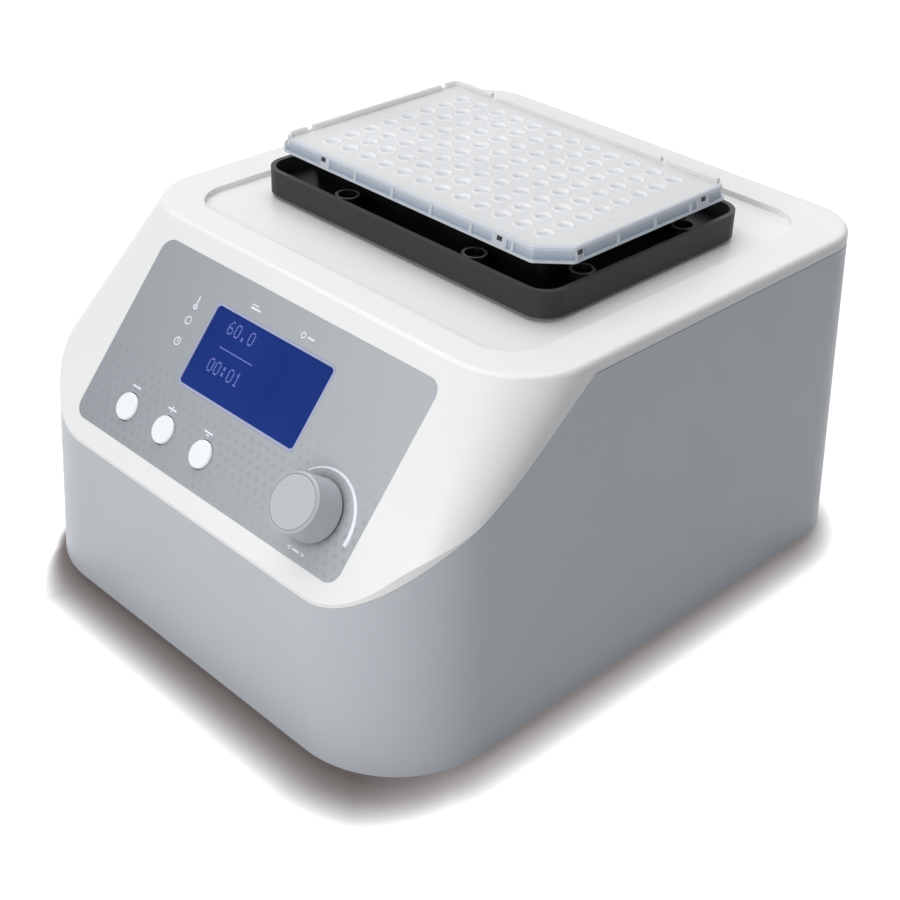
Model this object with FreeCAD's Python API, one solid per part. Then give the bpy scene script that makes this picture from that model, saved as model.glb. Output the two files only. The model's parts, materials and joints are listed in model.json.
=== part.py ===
import FreeCAD, Part
import math
import os

# Cooling dry block incubator, in millimetres.
# X is to the right of someone facing the control panel, Y goes to the back, Z is up.
# The origin is on the bench, under the middle of the housing's base.

Vec = FreeCAD.Vector
UP = Vec(0, 0, 1)

# Housing and cover
foot_height = 4.0
base_width = 196.4
base_depth = 234.7
cover_top = 123.4
wall_lean = 0.045
front_corner = 38.0
rear_corner = 22.0
shell_wall = 2.5
top_edge_round = 2.0
inner_flat_count = 3
slope_angle = 50.6
slope_foot = 60.7
flank_radius_low = 8.0
flank_radius_top = 27.0
flank_start = 8.0
seam_front = 59.5
seam_cap = 4.2
seam_run = 82.4
seam_gap = 0.3
seam_bow = [(0.13, 0.19), (0.30, 0.37), (0.54, 0.545), (0.79, 0.78)]

# Recess and opening round the block
recess_to_back = 20.6
recess_to_front = 11.5
recess_width = 154.0
recess_corner = 15.0
recess_depth = 2.0
orbit_radius = 1.5
neck_clearance = 2.5

# Control panel, placed on the sloped front from its lower edge
panel_width = 132.0
panel_length = 67.0
panel_corner = 5.0
panel_offset = 6.8
overlay_thickness = 0.6
display_x = -1.0
display_v = 41.5
display_width = 56.4
display_height = 27.8
display_corner = 1.5
bezel_width = 1.0
button_radius = 4.7
button_pitch = 19.7
button_first_x = -44.4
button_v = 11.4
button_proud = 1.0
button_travel = 0.6
knob_x = 47.0
knob_v = 16.3
knob_height = 11.6
knob_gap = 1.0
knob_base_radius = 10.1
knob_face_radius = 9.4
bushing_radius = 4.4
encoder_shaft_radius = 3.0
panel_board_depth = 10.0
board_thickness = 1.6

# Microplate
well_pitch = 9.0
well_columns = 12
well_rows = 8
plate_length = 126.0
plate_width = 83.7
plate_corner = 3.0
plate_chamfer = 9.5
plate_skirt_foot = 135.6
plate_deck_top = 141.4
plate_deck = 1.2
plate_wall = 1.1
plate_draft = 0.9
well_mouth_radius = 2.75
well_wall = 0.45
well_depth = 19.6
front_slots = (-42.0, 40.5)
right_slots = (-30.6, 29.8)
back_notches = (-42.0, 38.0)
left_notches = (-31.0, 34.0)
lip_height = 1.5
lip_thickness = 1.6
notch_width = 3.0
notch_floor = 0.1
slot_width = 3.2
slot_height = 2.6
slot_reach = 1.9
lift_clearance = 0.3

# Block and its frame
block_length = 109.0
block_width = 73.0
block_corner = 4.0
block_foot = 115.0
frame_length = 134.6
frame_width = 98.8
frame_corner = 9.0
frame_foot = 122.9
frame_height = 9.0
frame_wall = 1.8
frame_floor = 1.6
flange_thickness = 1.8
boss_radius = 4.3
boss_height = 4.6
pocket_depth = 4.0
pocket_radius = 3.2
pocket_x = 30.0
pocket_y = 25.0

# Cooling stack under the block
contact_thickness = 8.0
contact_margin = 2.5
module_size = 40.0
module_thickness = 3.4
module_x = 23.0
sink_length = 120.0
sink_inset = 8.0
sink_base = 6.0
fin_height = 21.6
fin_thickness = 1.4
fin_pitch = 7.6
fin_count = 12
post_radius = 3.5
post_x = 53.0
post_from_edge = 15.0

# Shaking table and its drive
table_length = 140.0
table_to_fan = 12.1
table_thickness = 5.0
table_top = 71.0
hub_radius = 13.0
hub_drop = 4.0
journal_radius = 3.0
idler_x = 60.0
idler_from_edge = 10.0
idler_hub_height = 7.0
idler_pin_radius = 2.0
idler_shaft_radius = 4.0
idler_hub_wall = 3.0
idler_disc_radius = 8.0
idler_disc_thickness = 3.0
running_clearance = 0.05
deck_top = 48.0
deck_thickness = 4.0
deck_length = 146.0
deck_overhang = 5.0
pillar_x = 66.0
pillar_from_edge = 7.0
pillar_radius = 4.5
motor_radius = 26.0
motor_pilot_radius = 11.0
motor_length = 28.0
motor_shaft_radius = 4.0
weight_gap = 9.0
weight_thickness = 6.0

# Base, bosses and rear wall
base_thickness = 2.5
base_gap = 0.3
foot_radius = 8.5
foot_from_side = 24.2
foot_from_front = 29.35
foot_from_back = 27.35
boss_from_side = 14.2
boss_from_front = 47.35
boss_from_back = 29.35
boss_split = 45.0
vent_count = 9
vent_pitch = 11.0
vent_width = 3.2
vent_length = 34.0
housing_boss_radius = 5.5
cover_boss_radius = 4.8
fan_x = 22.0
fan_z = 50.0
fan_size = 80.0
fan_depth = 25.0
fan_pad_depth = 7.75
rotor_radius = 36.5
rotor_hub_radius = 17.0
blade_count = 7
blade_sweep = 15.0
blade_half = 0.8
grille_radius = 36.0
grille_slot = 3.6
grille_pitch = 7.2
rear_recess_depth = 3.75
rear_recess_margin = 4.0
inlet_from_side = 46.2
inlet_z = 30.0
inlet_width = 27.0
inlet_height = 32.0
switch_z = 66.0
switch_width = 19.0
switch_height = 13.0
rocker_pivot_depth = 5.0
rocker_tilt = 7.0
rocker_pin_radius = 1.2

# Boards in the base
board_gap = 6.0
board_to_boss = 2.5
power_right = 6.0
power_width = 58.0
control_left = 12.0
control_width = 62.0
front_bay_depth = 41.35

base_inside = foot_height + base_thickness
slope = math.radians(slope_angle)
slope_run = (cover_top - slope_foot) / math.tan(slope)
slope_top_y = -base_depth / 2 + (slope_foot - foot_height) * wall_lean + slope_run
recess_length = base_depth / 2 - recess_to_back - recess_to_front - slope_top_y
block_y = base_depth / 2 - recess_to_back - recess_length / 2
fan_pad_y = base_depth / 2 - fan_pad_depth
rear_recess_y = base_depth / 2 - rear_recess_depth
front_bay_y = front_bay_depth - base_depth / 2
foot_x = base_width / 2 - foot_from_side
boss_x = base_width / 2 - boss_from_side
inlet_x = inlet_from_side - base_width / 2
neck_half_x = block_length / 2 + orbit_radius + neck_clearance
neck_half_y = block_width / 2 + orbit_radius + neck_clearance
table_width = 2 * (fan_pad_y - fan_depth - table_to_fan - block_y)
sink_width = table_width - 2 * sink_inset
post_y = table_width / 2 - post_from_edge
idler_y = table_width / 2 - idler_from_edge
deck_width = table_width + 2 * deck_overhang
pillar_y = deck_width / 2 - pillar_from_edge
weight_radius = idler_y - idler_shaft_radius - idler_hub_wall - weight_gap
boards_reach = boss_x - housing_boss_radius - board_to_boss
power_length = boards_reach + power_right
power_x = power_right - power_length / 2
control_length = boards_reach - control_left
control_x = control_left + control_length / 2


def rounded_wire(x0, x1, y0, y1, front_radius, back_radius, z, flats=0):
    """A closed outline at height z: straight sides joined by tangent arcs, or by flats on those arcs."""
    corners = [
        (x1, y0, -1, 1, front_radius, -90),
        (x1, y1, -1, -1, back_radius, 0),
        (x0, y1, 1, -1, back_radius, 90),
        (x0, y0, 1, 1, front_radius, 180),
    ]
    arcs = []
    steps = flats or 2
    for cx, cy, sx, sy, radius, start in corners:
        centre = Vec(cx + sx * radius, cy + sy * radius, z)
        points = []
        for step in range(steps + 1):
            angle = math.radians(start + 90 * step / steps)
            points.append(centre + Vec(radius * math.cos(angle), radius * math.sin(angle), 0))
        arcs.append(points)
    if flats:
        outline = sum(arcs, [])
        return Part.makePolygon(outline + outline[:1])
    edges = []
    for index, points in enumerate(arcs):
        edges.append(Part.Arc(*points).toShape())
        edges.append(Part.makeLine(points[2], arcs[(index + 1) % 4][0]))
    return Part.Wire(edges)


def rounded_block(half_x, half_y, radius, z0, z1, cx=0.0, cy=0.0):
    """An upright block with four equal rounded corners."""
    wire = rounded_wire(cx - half_x, cx + half_x, cy - half_y, cy + half_y, radius, radius, z0)
    return Part.Face(wire).extrude(Vec(0, 0, z1 - z0))


def box(x0, x1, y0, y1, z0, z1):
    return Part.makeBox(x1 - x0, y1 - y0, z1 - z0, Vec(x0, y0, z0))


def rod(radius, z0, z1, x=0.0, y=0.0):
    return Part.makeCylinder(radius, z1 - z0, Vec(x, y, z0))


def turned(points, x=0.0, y=0.0):
    """A solid of revolution about the vertical line through (x, y), from (radius, z) points."""
    corners = [Vec(radius, 0, z) for radius, z in points]
    face = Part.Face(Part.makePolygon(corners + corners[:1]))
    solid = face.revolve(Vec(0, 0, 0), UP, 360)
    solid.translate(Vec(x, y, 0))
    return solid


def joined(shapes):
    return shapes[0].fuse(shapes[1:]).removeSplitter()


def four(half_x, half_y):
    return [(sx * half_x, sy * half_y) for sx in (-1, 1) for sy in (-1, 1)]


def save(name, shape):
    shape.exportStep("parts/" + name + ".step")


def lean_at(z):
    return (z - foot_height) * wall_lean


def body_wire(z, inset):
    """The drafted outline of the housing at height z, moved in by inset."""
    half_x = base_width / 2 - lean_at(z) - inset
    half_y = base_depth / 2 - lean_at(z) - inset
    flats = inner_flat_count if inset else 0
    front = front_corner - inset
    return rounded_wire(-half_x, half_x, -half_y, half_y, front, rear_corner - inset, z, flats)


def slope_front(z, inset):
    """Y of the sloped front's plane at height z, moved in by inset along its normal."""
    foot_y = -(base_depth / 2 - lean_at(slope_foot))
    return foot_y + (z - slope_foot) / math.tan(slope) + inset / math.sin(slope)


def slope_wire(z, inset):
    half_x = base_width / 2 - lean_at(z) - inset
    part_up = (z - slope_foot) / (cover_top - slope_foot)
    radius = flank_radius_low + (flank_radius_top - flank_radius_low) * part_up - inset
    flats = inner_flat_count if inset else 0
    return rounded_wire(-half_x, half_x, slope_front(z, inset), base_depth, radius, radius, z, flats)


def body_form(inset, bottom):
    """The closed form of the whole body: drafted walls, sloped front with conical flanks."""
    start = slope_foot - flank_start
    top = cover_top - inset
    lower = Part.makeLoft([body_wire(bottom, inset), body_wire(start, inset)], True, True)
    upper = Part.makeLoft([body_wire(start, inset), body_wire(top, inset)], True, True)
    sloped = Part.makeLoft([slope_wire(start, inset), slope_wire(top, inset)], True, True)
    return lower.fuse(upper.common(sloped)).removeSplitter()


def outer_form():
    form = body_form(0.0, foot_height)
    rim = []
    for edge in form.Edges:
        low = edge.BoundBox.ZMin
        if low > cover_top - 0.01:
            rim.append(edge)
    return form.makeFillet(top_edge_round, rim)


def seam_solid():
    """Everything above the seam: level at the front, rising along the flanks, level at the back."""
    front_y = -(base_depth / 2 - lean_at(seam_front))
    top = cover_top - seam_cap
    rise = top - seam_front
    far = base_depth
    start = Vec(0, front_y, seam_front)
    end = Vec(0, front_y + seam_run, top)
    curve_points = [start]
    for along, up in seam_bow:
        curve_points.append(Vec(0, front_y + along * seam_run, seam_front + up * rise))
    curve_points.append(end)
    curve = Part.BSplineCurve()
    curve.interpolate(curve_points)
    ceiling = cover_top + seam_cap
    corners = [
        end,
        Vec(0, far, top),
        Vec(0, far, ceiling),
        Vec(0, -far, ceiling),
        Vec(0, -far, seam_front),
        start,
    ]
    edges = [curve.toShape()]
    for a, b in zip(corners, corners[1:]):
        edges.append(Part.makeLine(a, b))
    face = Part.Face(Part.Wire(edges))
    face.translate(Vec(-base_width, 0, 0))
    return face.extrude(Vec(2 * base_width, 0, 0))


def on_panel(shape):
    """Moves a shape from the panel's own frame (x across, y up the slope, z outward) to its place."""
    origin_z = slope_foot + panel_offset * math.sin(slope)
    origin_y = slope_front(origin_z, 0)
    shape.rotate(Vec(0, 0, 0), Vec(1, 0, 0), slope_angle)
    shape.translate(Vec(0, origin_y, origin_z))
    return shape


def button_places():
    return [(button_first_x + index * button_pitch, button_v) for index in range(3)]


def pocket_places():
    """Screw pockets round the block: two on each side, in the channel beside it."""
    channel_y = (block_width / 2 + frame_width / 2 - frame_wall) / 2
    channel_x = (block_length / 2 + frame_length / 2 - frame_wall) / 2
    return four(pocket_x, channel_y) + four(channel_x, pocket_y)


def make_shells():
    outer = outer_form()
    inner = body_form(shell_wall, foot_height - 1)
    shell = outer.cut(inner)
    above = seam_solid()
    inside_wires = [body_wire(seam_front, shell_wall), body_wire(cover_top, shell_wall)]
    behind_walls = Part.makeLoft(inside_wires, True, True)
    below = shell.cut([above, behind_walls])
    make_cover(outer, shell.cut(below))
    above.translate(Vec(0, 0, -seam_gap))
    make_housing(outer, below.cut(above))


def make_cover(outer, shell):
    floor = cover_top - recess_depth
    pad = rounded_block(
        recess_width / 2 + shell_wall,
        recess_length / 2 + shell_wall,
        recess_corner + shell_wall,
        floor - shell_wall,
        cover_top - shell_wall / 2,
        0,
        block_y,
    )
    pieces = [shell, pad.common(outer)]
    for x, y in boss_places():
        pieces.append(prism(8, cover_boss_radius, boss_split, cover_top - 1, x, y).common(outer))
    cover = joined(pieces)
    cuts = [
        rounded_block(recess_width / 2, recess_length / 2, recess_corner, floor, cover_top + 1, 0, block_y),
        rounded_block(neck_half_x, neck_half_y, block_corner, floor - 2 * shell_wall, cover_top, 0, block_y),
    ]
    deep = -2 * shell_wall
    half_v = panel_length / 2
    seat = rounded_block(panel_width / 2, half_v, panel_corner, -overlay_thickness, 5, 0, half_v)
    cuts.append(on_panel(seat))
    cuts.append(on_panel(bezel_block(0.0, deep, 1)))
    button_left = button_first_x - button_radius - lift_clearance
    button_right = button_left + 2 * (button_pitch + button_radius + lift_clearance)
    button_half = button_radius + lift_clearance
    button_window = box(button_left, button_right, button_v - button_half, button_v + button_half, deep, 1)
    cuts.append(on_panel(button_window))
    bushing = bushing_radius + lift_clearance
    cuts.append(on_panel(prism(8, bushing, deep, 1, knob_x, knob_v)))
    save("top_cover", cover.cut(cuts).removeSplitter())


def grille_cutter():
    """Slots across a round opening in the rear wall, as long as the circle allows."""
    slots = []
    count = int(grille_radius // grille_pitch)
    for index in range(-count, count + 1):
        offset = index * grille_pitch
        half_length = math.sqrt(grille_radius**2 - offset**2)
        z = fan_z + offset
        slots.append(
            box(
                fan_x - half_length,
                fan_x + half_length,
                fan_pad_y - 10,
                fan_pad_y + 40,
                z - grille_slot / 2,
                z + grille_slot / 2,
            )
        )
    return slots


def make_housing(outer, shell):
    half_fan = fan_size / 2 + 1
    pad = rear_box(fan_x, fan_z, half_fan, half_fan, fan_pad_y, base_depth)
    back = rear_recess_y - shell_wall
    recess_low = inlet_z - inlet_height / 2 - rear_recess_margin
    recess_high = switch_z + switch_height / 2 + 2 * rear_recess_margin
    recess_mid = (recess_low + recess_high) / 2
    recess_half = (recess_high - recess_low) / 2
    switch_pad = rear_box(inlet_x, recess_mid, 22, recess_half + 2, back, base_depth)
    pieces = [shell, pad.common(outer), switch_pad.common(outer)]
    for x, y in boss_places():
        pieces.append(prism(8, housing_boss_radius, base_inside, boss_split, x, y))
        wall_x = math.copysign(base_width, x)
        rib = box(min(x, wall_x), max(x, wall_x), y - 1.25, y + 1.25, base_inside, boss_split)
        pieces.append(rib.common(outer))
    cuts = grille_cutter()
    cuts.append(rear_box(inlet_x, recess_mid, 20, recess_half, rear_recess_y, base_depth))
    cuts.append(rear_box(inlet_x, inlet_z, inlet_width / 2, inlet_height / 2, back - 1, base_depth))
    cuts.append(rear_box(inlet_x, switch_z, switch_width / 2, switch_height / 2, back - 1, base_depth))
    save("lower_housing", joined(pieces).cut(cuts).removeSplitter())


def make_base():
    gap = shell_wall + base_gap
    plate = Part.makeLoft([body_wire(foot_height, gap), body_wire(base_inside, gap)], True, True)
    slots = []
    for row_y in (block_y - vent_length * 0.9, block_y + vent_length * 0.9):
        for index in range(vent_count):
            x = (index - (vent_count - 1) / 2) * vent_pitch
            slots.append(
                box(
                    x - vent_width / 2,
                    x + vent_width / 2,
                    row_y - vent_length / 2,
                    row_y + vent_length / 2,
                    0,
                    base_inside + 1,
                )
            )
    save("base_plate", plate.cut(slots))
    foot_rows = (("front", foot_from_front - base_depth / 2), ("back", base_depth / 2 - foot_from_back))
    for side, sx in (("left", -1), ("right", 1)):
        for end, y in foot_rows:
            save("foot_" + side + "_" + end, rod(foot_radius, 0, foot_height, sx * foot_x, y))


def make_panel():
    half_v = panel_length / 2
    fit = 0.05
    half_x = panel_width / 2 - fit
    overlay = rounded_block(half_x, half_v - fit, panel_corner, -overlay_thickness, 0, 0, half_v)
    cuts = [bezel_block(0.0, -2, 1)]
    for x, v in button_places():
        cuts.append(rod(button_radius + lift_clearance, -2, 1, x, v))
    cuts.append(prism(8, bushing_radius + lift_clearance, -2, 1, knob_x, knob_v))
    save("panel_overlay", on_panel(overlay.cut(cuts)))
    bezel = bezel_block(fit, -shell_wall, 0)
    save("display_bezel", on_panel(bezel.cut(display_box(0.0, -5, 1))))
    save("display_window", on_panel(display_box(fit, -shell_wall, -0.4)))
    module_back = -panel_board_depth
    module = display_box(-5.0, module_back, -shell_wall - lift_clearance)
    save("display_module", on_panel(module.cut(display_box(0.5, -shell_wall - 2, 0))))
    board_back = -panel_board_depth - board_thickness
    board = box(6 - panel_width / 2, panel_width / 2 - 6, 4, panel_length - 4, board_back, -panel_board_depth)
    save("panel_board", on_panel(board))
    standoffs = []
    for x, y in four(panel_width / 2 - 10, half_v - 8):
        standoffs.append(prism(6, 2.8, -panel_board_depth, -shell_wall, x, half_v + y))
    save("panel_standoffs", on_panel(Part.makeCompound(standoffs)))


def make_buttons():
    names = ["left_button", "middle_button", "right_button"]
    cap_back = -shell_wall
    switch_top = cap_back - button_travel - 0.1
    switches = []
    for name, (x, v) in zip(names, button_places()):
        cap = turned(
            [
                (0, cap_back),
                (button_radius, cap_back),
                (button_radius, button_proud - 0.4),
                (button_radius - 0.4, button_proud),
                (0, button_proud),
            ],
            x,
            v,
        )
        save(name, on_panel(cap))
        case = box(x - 3, x + 3, v - 3, v + 3, -panel_board_depth, switch_top - 1.5)
        switches.append(joined([case, prism(8, 1.7, switch_top - 1.5, switch_top, x, v)]))
    save("tact_switches", on_panel(Part.makeCompound(switches)))


def make_knob():
    top = knob_height
    shaft_end = top - 3.0
    base = knob_base_radius
    face = knob_face_radius
    knob = turned(
        [
            (0, shaft_end),
            (encoder_shaft_radius, shaft_end),
            (encoder_shaft_radius, knob_gap),
            (base, knob_gap),
            (face, top - 0.6),
            (face - 0.6, top),
            (0, top),
        ],
        knob_x,
        knob_v,
    )
    save("knob", on_panel(knob))
    chamber = -panel_board_depth + 0.4
    shaft_foot = chamber + 0.3
    save("encoder_shaft", on_panel(rod(encoder_shaft_radius, shaft_foot, shaft_end, knob_x, knob_v)))
    case = box(knob_x - 6.5, knob_x + 6.5, knob_v - 6.5, knob_v + 6.5, -panel_board_depth, -4.4)
    bushing = prism(8, bushing_radius, -4.4, -overlay_thickness, knob_x, knob_v)
    bore = rod(encoder_shaft_radius + running_clearance, chamber, 1, knob_x, knob_v)
    save("encoder_body", on_panel(joined([case, bushing]).cut(bore)))


def well_places():
    places = []
    for column in range(well_columns):
        for row in range(well_rows):
            x = (column - (well_columns - 1) / 2) * well_pitch
            y = block_y + (row - (well_rows - 1) / 2) * well_pitch
            places.append((x, y))
    return places


def well_cone(mouth, z_mouth, z_tip, x, y):
    """An eight-sided cone standing on its tip, with flats at the stated mouth radius."""
    reach = mouth / math.cos(math.pi / 8)
    rim = []
    for index in range(8):
        angle = (2 * index + 1) * math.pi / 8
        rim.append(Vec(x + reach * math.cos(angle), y + reach * math.sin(angle), z_mouth))
    rim.append(rim[0])
    tip = Vec(x, y, z_tip)
    faces = [Part.Face(Part.makePolygon(rim))]
    for a, b in zip(rim, rim[1:]):
        faces.append(Part.Face(Part.makePolygon([a, tip, b, a])))
    return Part.Solid(Part.Shell(faces))


def plate_wire(grow, z):
    """The plate's outline with its cut corner at the front right, grown by a small draft."""
    half_x = plate_length / 2 + grow
    half_y = plate_width / 2 + grow
    y0 = block_y - half_y
    y1 = block_y + half_y
    cut = plate_chamfer
    points = [
        Vec(half_x - cut, y0, z),
        Vec(half_x, y0 + cut, z),
        Vec(half_x, y1, z),
        Vec(-half_x, y1, z),
        Vec(-half_x, y0, z),
    ]
    return Part.makePolygon(points + points[:1])


def plate_prism(grow_low, grow_high, z0, z1):
    solid = Part.makeLoft([plate_wire(grow_low, z0), plate_wire(grow_high, z1)], True, True)
    upright = []
    for edge in solid.Edges:
        if edge.BoundBox.ZLength > (z1 - z0) * 0.9:
            upright.append(edge)
    radius = plate_corner + min(grow_low, grow_high)
    return solid.makeFillet(max(radius, 0.5), upright)


def make_plate():
    deck_low = plate_deck_top - plate_deck
    outside = plate_prism(plate_draft, 0, plate_skirt_foot, plate_deck_top)
    inside = plate_prism(plate_draft - plate_wall, -plate_wall, plate_skirt_foot - 0.01, deck_low)
    plate = outside.cut(inside)
    tip_z = plate_deck_top - well_depth
    bores = []
    tubes = []
    for x, y in well_places():
        tubes.append(well_cone(well_mouth_radius + well_wall, deck_low + 0.4, tip_z - 2 * well_wall, x, y))
        bores.append(well_cone(well_mouth_radius, plate_deck_top + 0.01, tip_z, x, y))
    front = block_y - plate_width / 2
    back = block_y + plate_width / 2
    right = plate_length / 2
    lip_top = plate_deck_top + lip_height
    lip = plate_prism(0, -plate_draft / 2, plate_deck_top - plate_deck, lip_top)
    lip = lip.cut(box(lip_thickness - right, right + 1, front - 1, back - lip_thickness, 0, lip_top + 1))
    half_slot = slot_width / 2
    slots = [plate_slot(x, front, half_slot, slot_reach) for x in front_slots]
    slots += [plate_slot(right, block_y + y, slot_reach, half_slot) for y in right_slots]
    low = plate_deck_top + notch_floor
    half = notch_width / 2
    for x in back_notches:
        slots.append(box(x - half, x + half, back - slot_reach, back + 1, low, lip_top + 1))
    for y in left_notches:
        centre = block_y + y
        slots.append(box(-right - 1, slot_reach - right, centre - half, centre + half, low, lip_top + 1))
    save("microplate", plate.fuse(tubes + [lip]).cut(bores + slots))


def plate_slot(x, y, half_x, half_y):
    high = plate_deck_top - plate_deck
    return box(x - half_x, x + half_x, y - half_y, y + half_y, high - slot_height, high)


def make_block():
    flange_low = frame_foot + frame_floor
    flange_high = flange_low + flange_thickness
    block_top = plate_deck_top - plate_deck - lift_clearance
    half_x = block_length / 2
    half_y = block_width / 2
    core = rounded_block(half_x, half_y, block_corner, block_foot, block_top, 0, block_y)
    inside_x = frame_length / 2 - frame_wall - lift_clearance
    inside_y = frame_width / 2 - frame_wall - lift_clearance
    flange = rounded_block(inside_x, inside_y, frame_corner - frame_wall, flange_low, flange_high, 0, block_y)
    pieces = [core, flange]
    cuts = []
    boss_top = flange_high + boss_height
    for x, y in pocket_places():
        pieces.append(prism(12, boss_radius, flange_high, boss_top, x, block_y + y))
        cuts.append(prism(12, pocket_radius, boss_top - pocket_depth, boss_top + 1, x, block_y + y))
    tip_z = plate_deck_top - well_depth - 2 * well_wall - 4 * lift_clearance
    mouth = well_mouth_radius + well_wall + lift_clearance
    for x, y in well_places():
        cuts.append(well_cone(mouth, block_top + 0.01, tip_z, x, y))
    save("well_block", joined(pieces).cut(cuts))


def make_frame():
    top = frame_foot + frame_height
    half_x = frame_length / 2
    half_y = frame_width / 2
    tray = rounded_block(half_x, half_y, frame_corner, frame_foot, top, 0, block_y)
    inner_corner = frame_corner - frame_wall
    channel = rounded_block(
        half_x - frame_wall, half_y - frame_wall, inner_corner, frame_foot + frame_floor, top + 1, 0, block_y
    )
    opening_x = block_length / 2 + lift_clearance
    opening_y = block_width / 2 + lift_clearance
    middle = rounded_block(opening_x, opening_y, block_corner, frame_foot - 1, top, 0, block_y)
    save("block_frame", tray.cut([channel, middle]))


def make_cooling_stack():
    contact_low = block_foot - contact_thickness
    half_x = block_length / 2 + contact_margin
    half_y = block_width / 2 + contact_margin
    sink_half_x = sink_length / 2
    sink_half_y = sink_width / 2
    save("contact_plate", box(-half_x, half_x, block_y - half_y, block_y + half_y, contact_low, block_foot))
    module_low = contact_low - module_thickness
    half = module_size / 2
    foam = box(-half_x, half_x, block_y - half_y, block_y + half_y, module_low, contact_low)
    windows = []
    for name, x in (("left", -module_x), ("right", module_x)):
        module = box(x - half, x + half, block_y - half, block_y + half, module_low, contact_low)
        save("cooling_module_" + name, module)
        reach = half + lift_clearance
        windows.append(box(x - reach, x + reach, block_y - reach, block_y + reach, module_low, contact_low))
    save("insulation_frame", foam.cut(windows))
    sink_low = module_low - sink_base
    y0 = block_y - sink_half_y
    y1 = block_y + sink_half_y
    sink = [box(-sink_half_x, sink_half_x, y0, y1, sink_low, module_low)]
    half_fin = fin_thickness / 2
    for index in range(fin_count):
        x = (index - (fin_count - 1) / 2) * fin_pitch
        sink.append(box(x - half_fin, x + half_fin, y0, y1, sink_low - fin_height, sink_low))
    save("heat_sink", joined(sink))
    posts = []
    for x, y in four(post_x, post_y):
        posts.append(prism(6, post_radius, table_top, sink_low, x, block_y + y))
    save("sink_posts", Part.makeCompound(posts))


def make_table():
    low = table_top - table_thickness
    hub_low = low - hub_drop
    table = rounded_block(table_length / 2, table_width / 2, 10, low, table_top, orbit_radius, block_y)
    hub = prism(8, hub_radius, hub_low, low, orbit_radius, block_y)
    bores = [rod(journal_radius + running_clearance, hub_low, table_top, orbit_radius, block_y)]
    for name, x, y in idler_places():
        radius = idler_pin_radius + running_clearance
        bores.append(rod(radius, low, table_top, x + orbit_radius, block_y + y))
    save("shaker_table", joined([table, hub]).cut(bores))


def make_drive():
    deck_low = deck_top - deck_thickness
    hub_top = deck_top + idler_hub_height
    half_x = deck_length / 2
    half_y = deck_width / 2
    deck = [box(-half_x, half_x, block_y - half_y, block_y + half_y, deck_low, deck_top)]
    bores = [prism(8, motor_pilot_radius, deck_low, deck_top, 0, block_y)]
    for name, x, y in idler_places():
        deck.append(prism(8, idler_shaft_radius + idler_hub_wall, deck_top, hub_top, x, block_y + y))
        bores.append(rod(idler_shaft_radius + running_clearance, deck_low, hub_top, x, block_y + y))
    save("drive_deck", joined(deck).cut(bores))
    pillars = []
    for x, y in four(pillar_x, pillar_y):
        pillars.append(prism(6, pillar_radius, base_inside, deck_low, x, block_y + y))
    save("deck_pillars", Part.makeCompound(pillars))
    motor_low = deck_low - motor_length
    motor = joined(
        [
            prism(8, motor_radius, motor_low, deck_low, 0, block_y),
            prism(8, motor_pilot_radius - 0.2, deck_low, deck_top, 0, block_y),
        ]
    )
    shaft_low = motor_low + 4
    shaft_bore = rod(motor_shaft_radius + running_clearance, shaft_low, deck_top, 0, block_y)
    save("drive_motor", motor.cut(shaft_bore))
    hub_low = table_top - table_thickness - hub_drop
    shoulder = hub_low - 1.5
    shaft = rod(motor_shaft_radius, shaft_low + 0.3, shoulder, 0, block_y)
    web = prism(12, journal_radius + 3, shoulder, hub_low - 0.4, 0, block_y)
    journal = rod(journal_radius, hub_low - 0.4, table_top - 0.4, orbit_radius, block_y)
    save("motor_shaft", joined([shaft, web, journal]))
    weight_low = deck_top + 1.5
    weight_high = weight_low + weight_thickness
    weight = rod(weight_radius, weight_low, weight_high, 0, block_y)
    trim = box(6, 60, block_y - 60, block_y + 60, weight_low, weight_high)
    save("counterweight", weight.cut([trim, rod(motor_shaft_radius, weight_low, weight_high, 0, block_y)]))
    for name, x, y in idler_places():
        cy = block_y + y
        disc_low = hub_top + 0.4
        disc_high = disc_low + idler_disc_thickness
        crank = joined(
            [
                rod(idler_shaft_radius, deck_low + 0.5, disc_low, x, cy),
                prism(12, idler_disc_radius, disc_low, disc_high, x, cy),
                rod(idler_pin_radius, disc_high, table_top - 0.4, x + orbit_radius, cy),
            ]
        )
        save("idler_crank_" + name, crank)


def make_fan():
    front = fan_pad_y - fan_depth
    axis = Vec(0, 1, 0)
    half = fan_size / 2
    frame = rear_box(fan_x, fan_z, half, half, front, fan_pad_y)
    frame = frame.cut(Part.makeCylinder(rotor_radius + 1.0, fan_depth, Vec(fan_x, front, fan_z), axis))
    strut_depth = 3.0
    back = fan_pad_y - strut_depth
    pieces = [frame, Part.makeCylinder(rotor_hub_radius, strut_depth, Vec(fan_x, back, fan_z), axis)]
    for angle in (45, 135, 225, 315):
        strut = box(rotor_hub_radius - 2, rotor_radius + 4, back, fan_pad_y, -1.5, 1.5)
        strut.rotate(Vec(0, 0, 0), axis, angle)
        strut.translate(Vec(fan_x, 0, fan_z))
        pieces.append(strut)
    spindle_radius = 2.0
    bore = Part.makeCylinder(spindle_radius + running_clearance, fan_depth, Vec(fan_x, front, fan_z), axis)
    save("fan_frame", joined(pieces).cut(bore))
    rotor_front = front + 1.5
    rotor_back = back - 1.0
    hub = Part.makeCylinder(rotor_hub_radius, rotor_back - rotor_front, Vec(fan_x, rotor_front, fan_z), axis)
    spindle = Part.makeCylinder(spindle_radius, strut_depth + 0.5, Vec(fan_x, rotor_back, fan_z), axis)
    rotor = [hub, spindle]
    for index in range(blade_count):
        rotor.append(fan_blade(rotor_front + 1, rotor_back - 1, index * 360.0 / blade_count))
    save("fan_rotor", joined(rotor))


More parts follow.
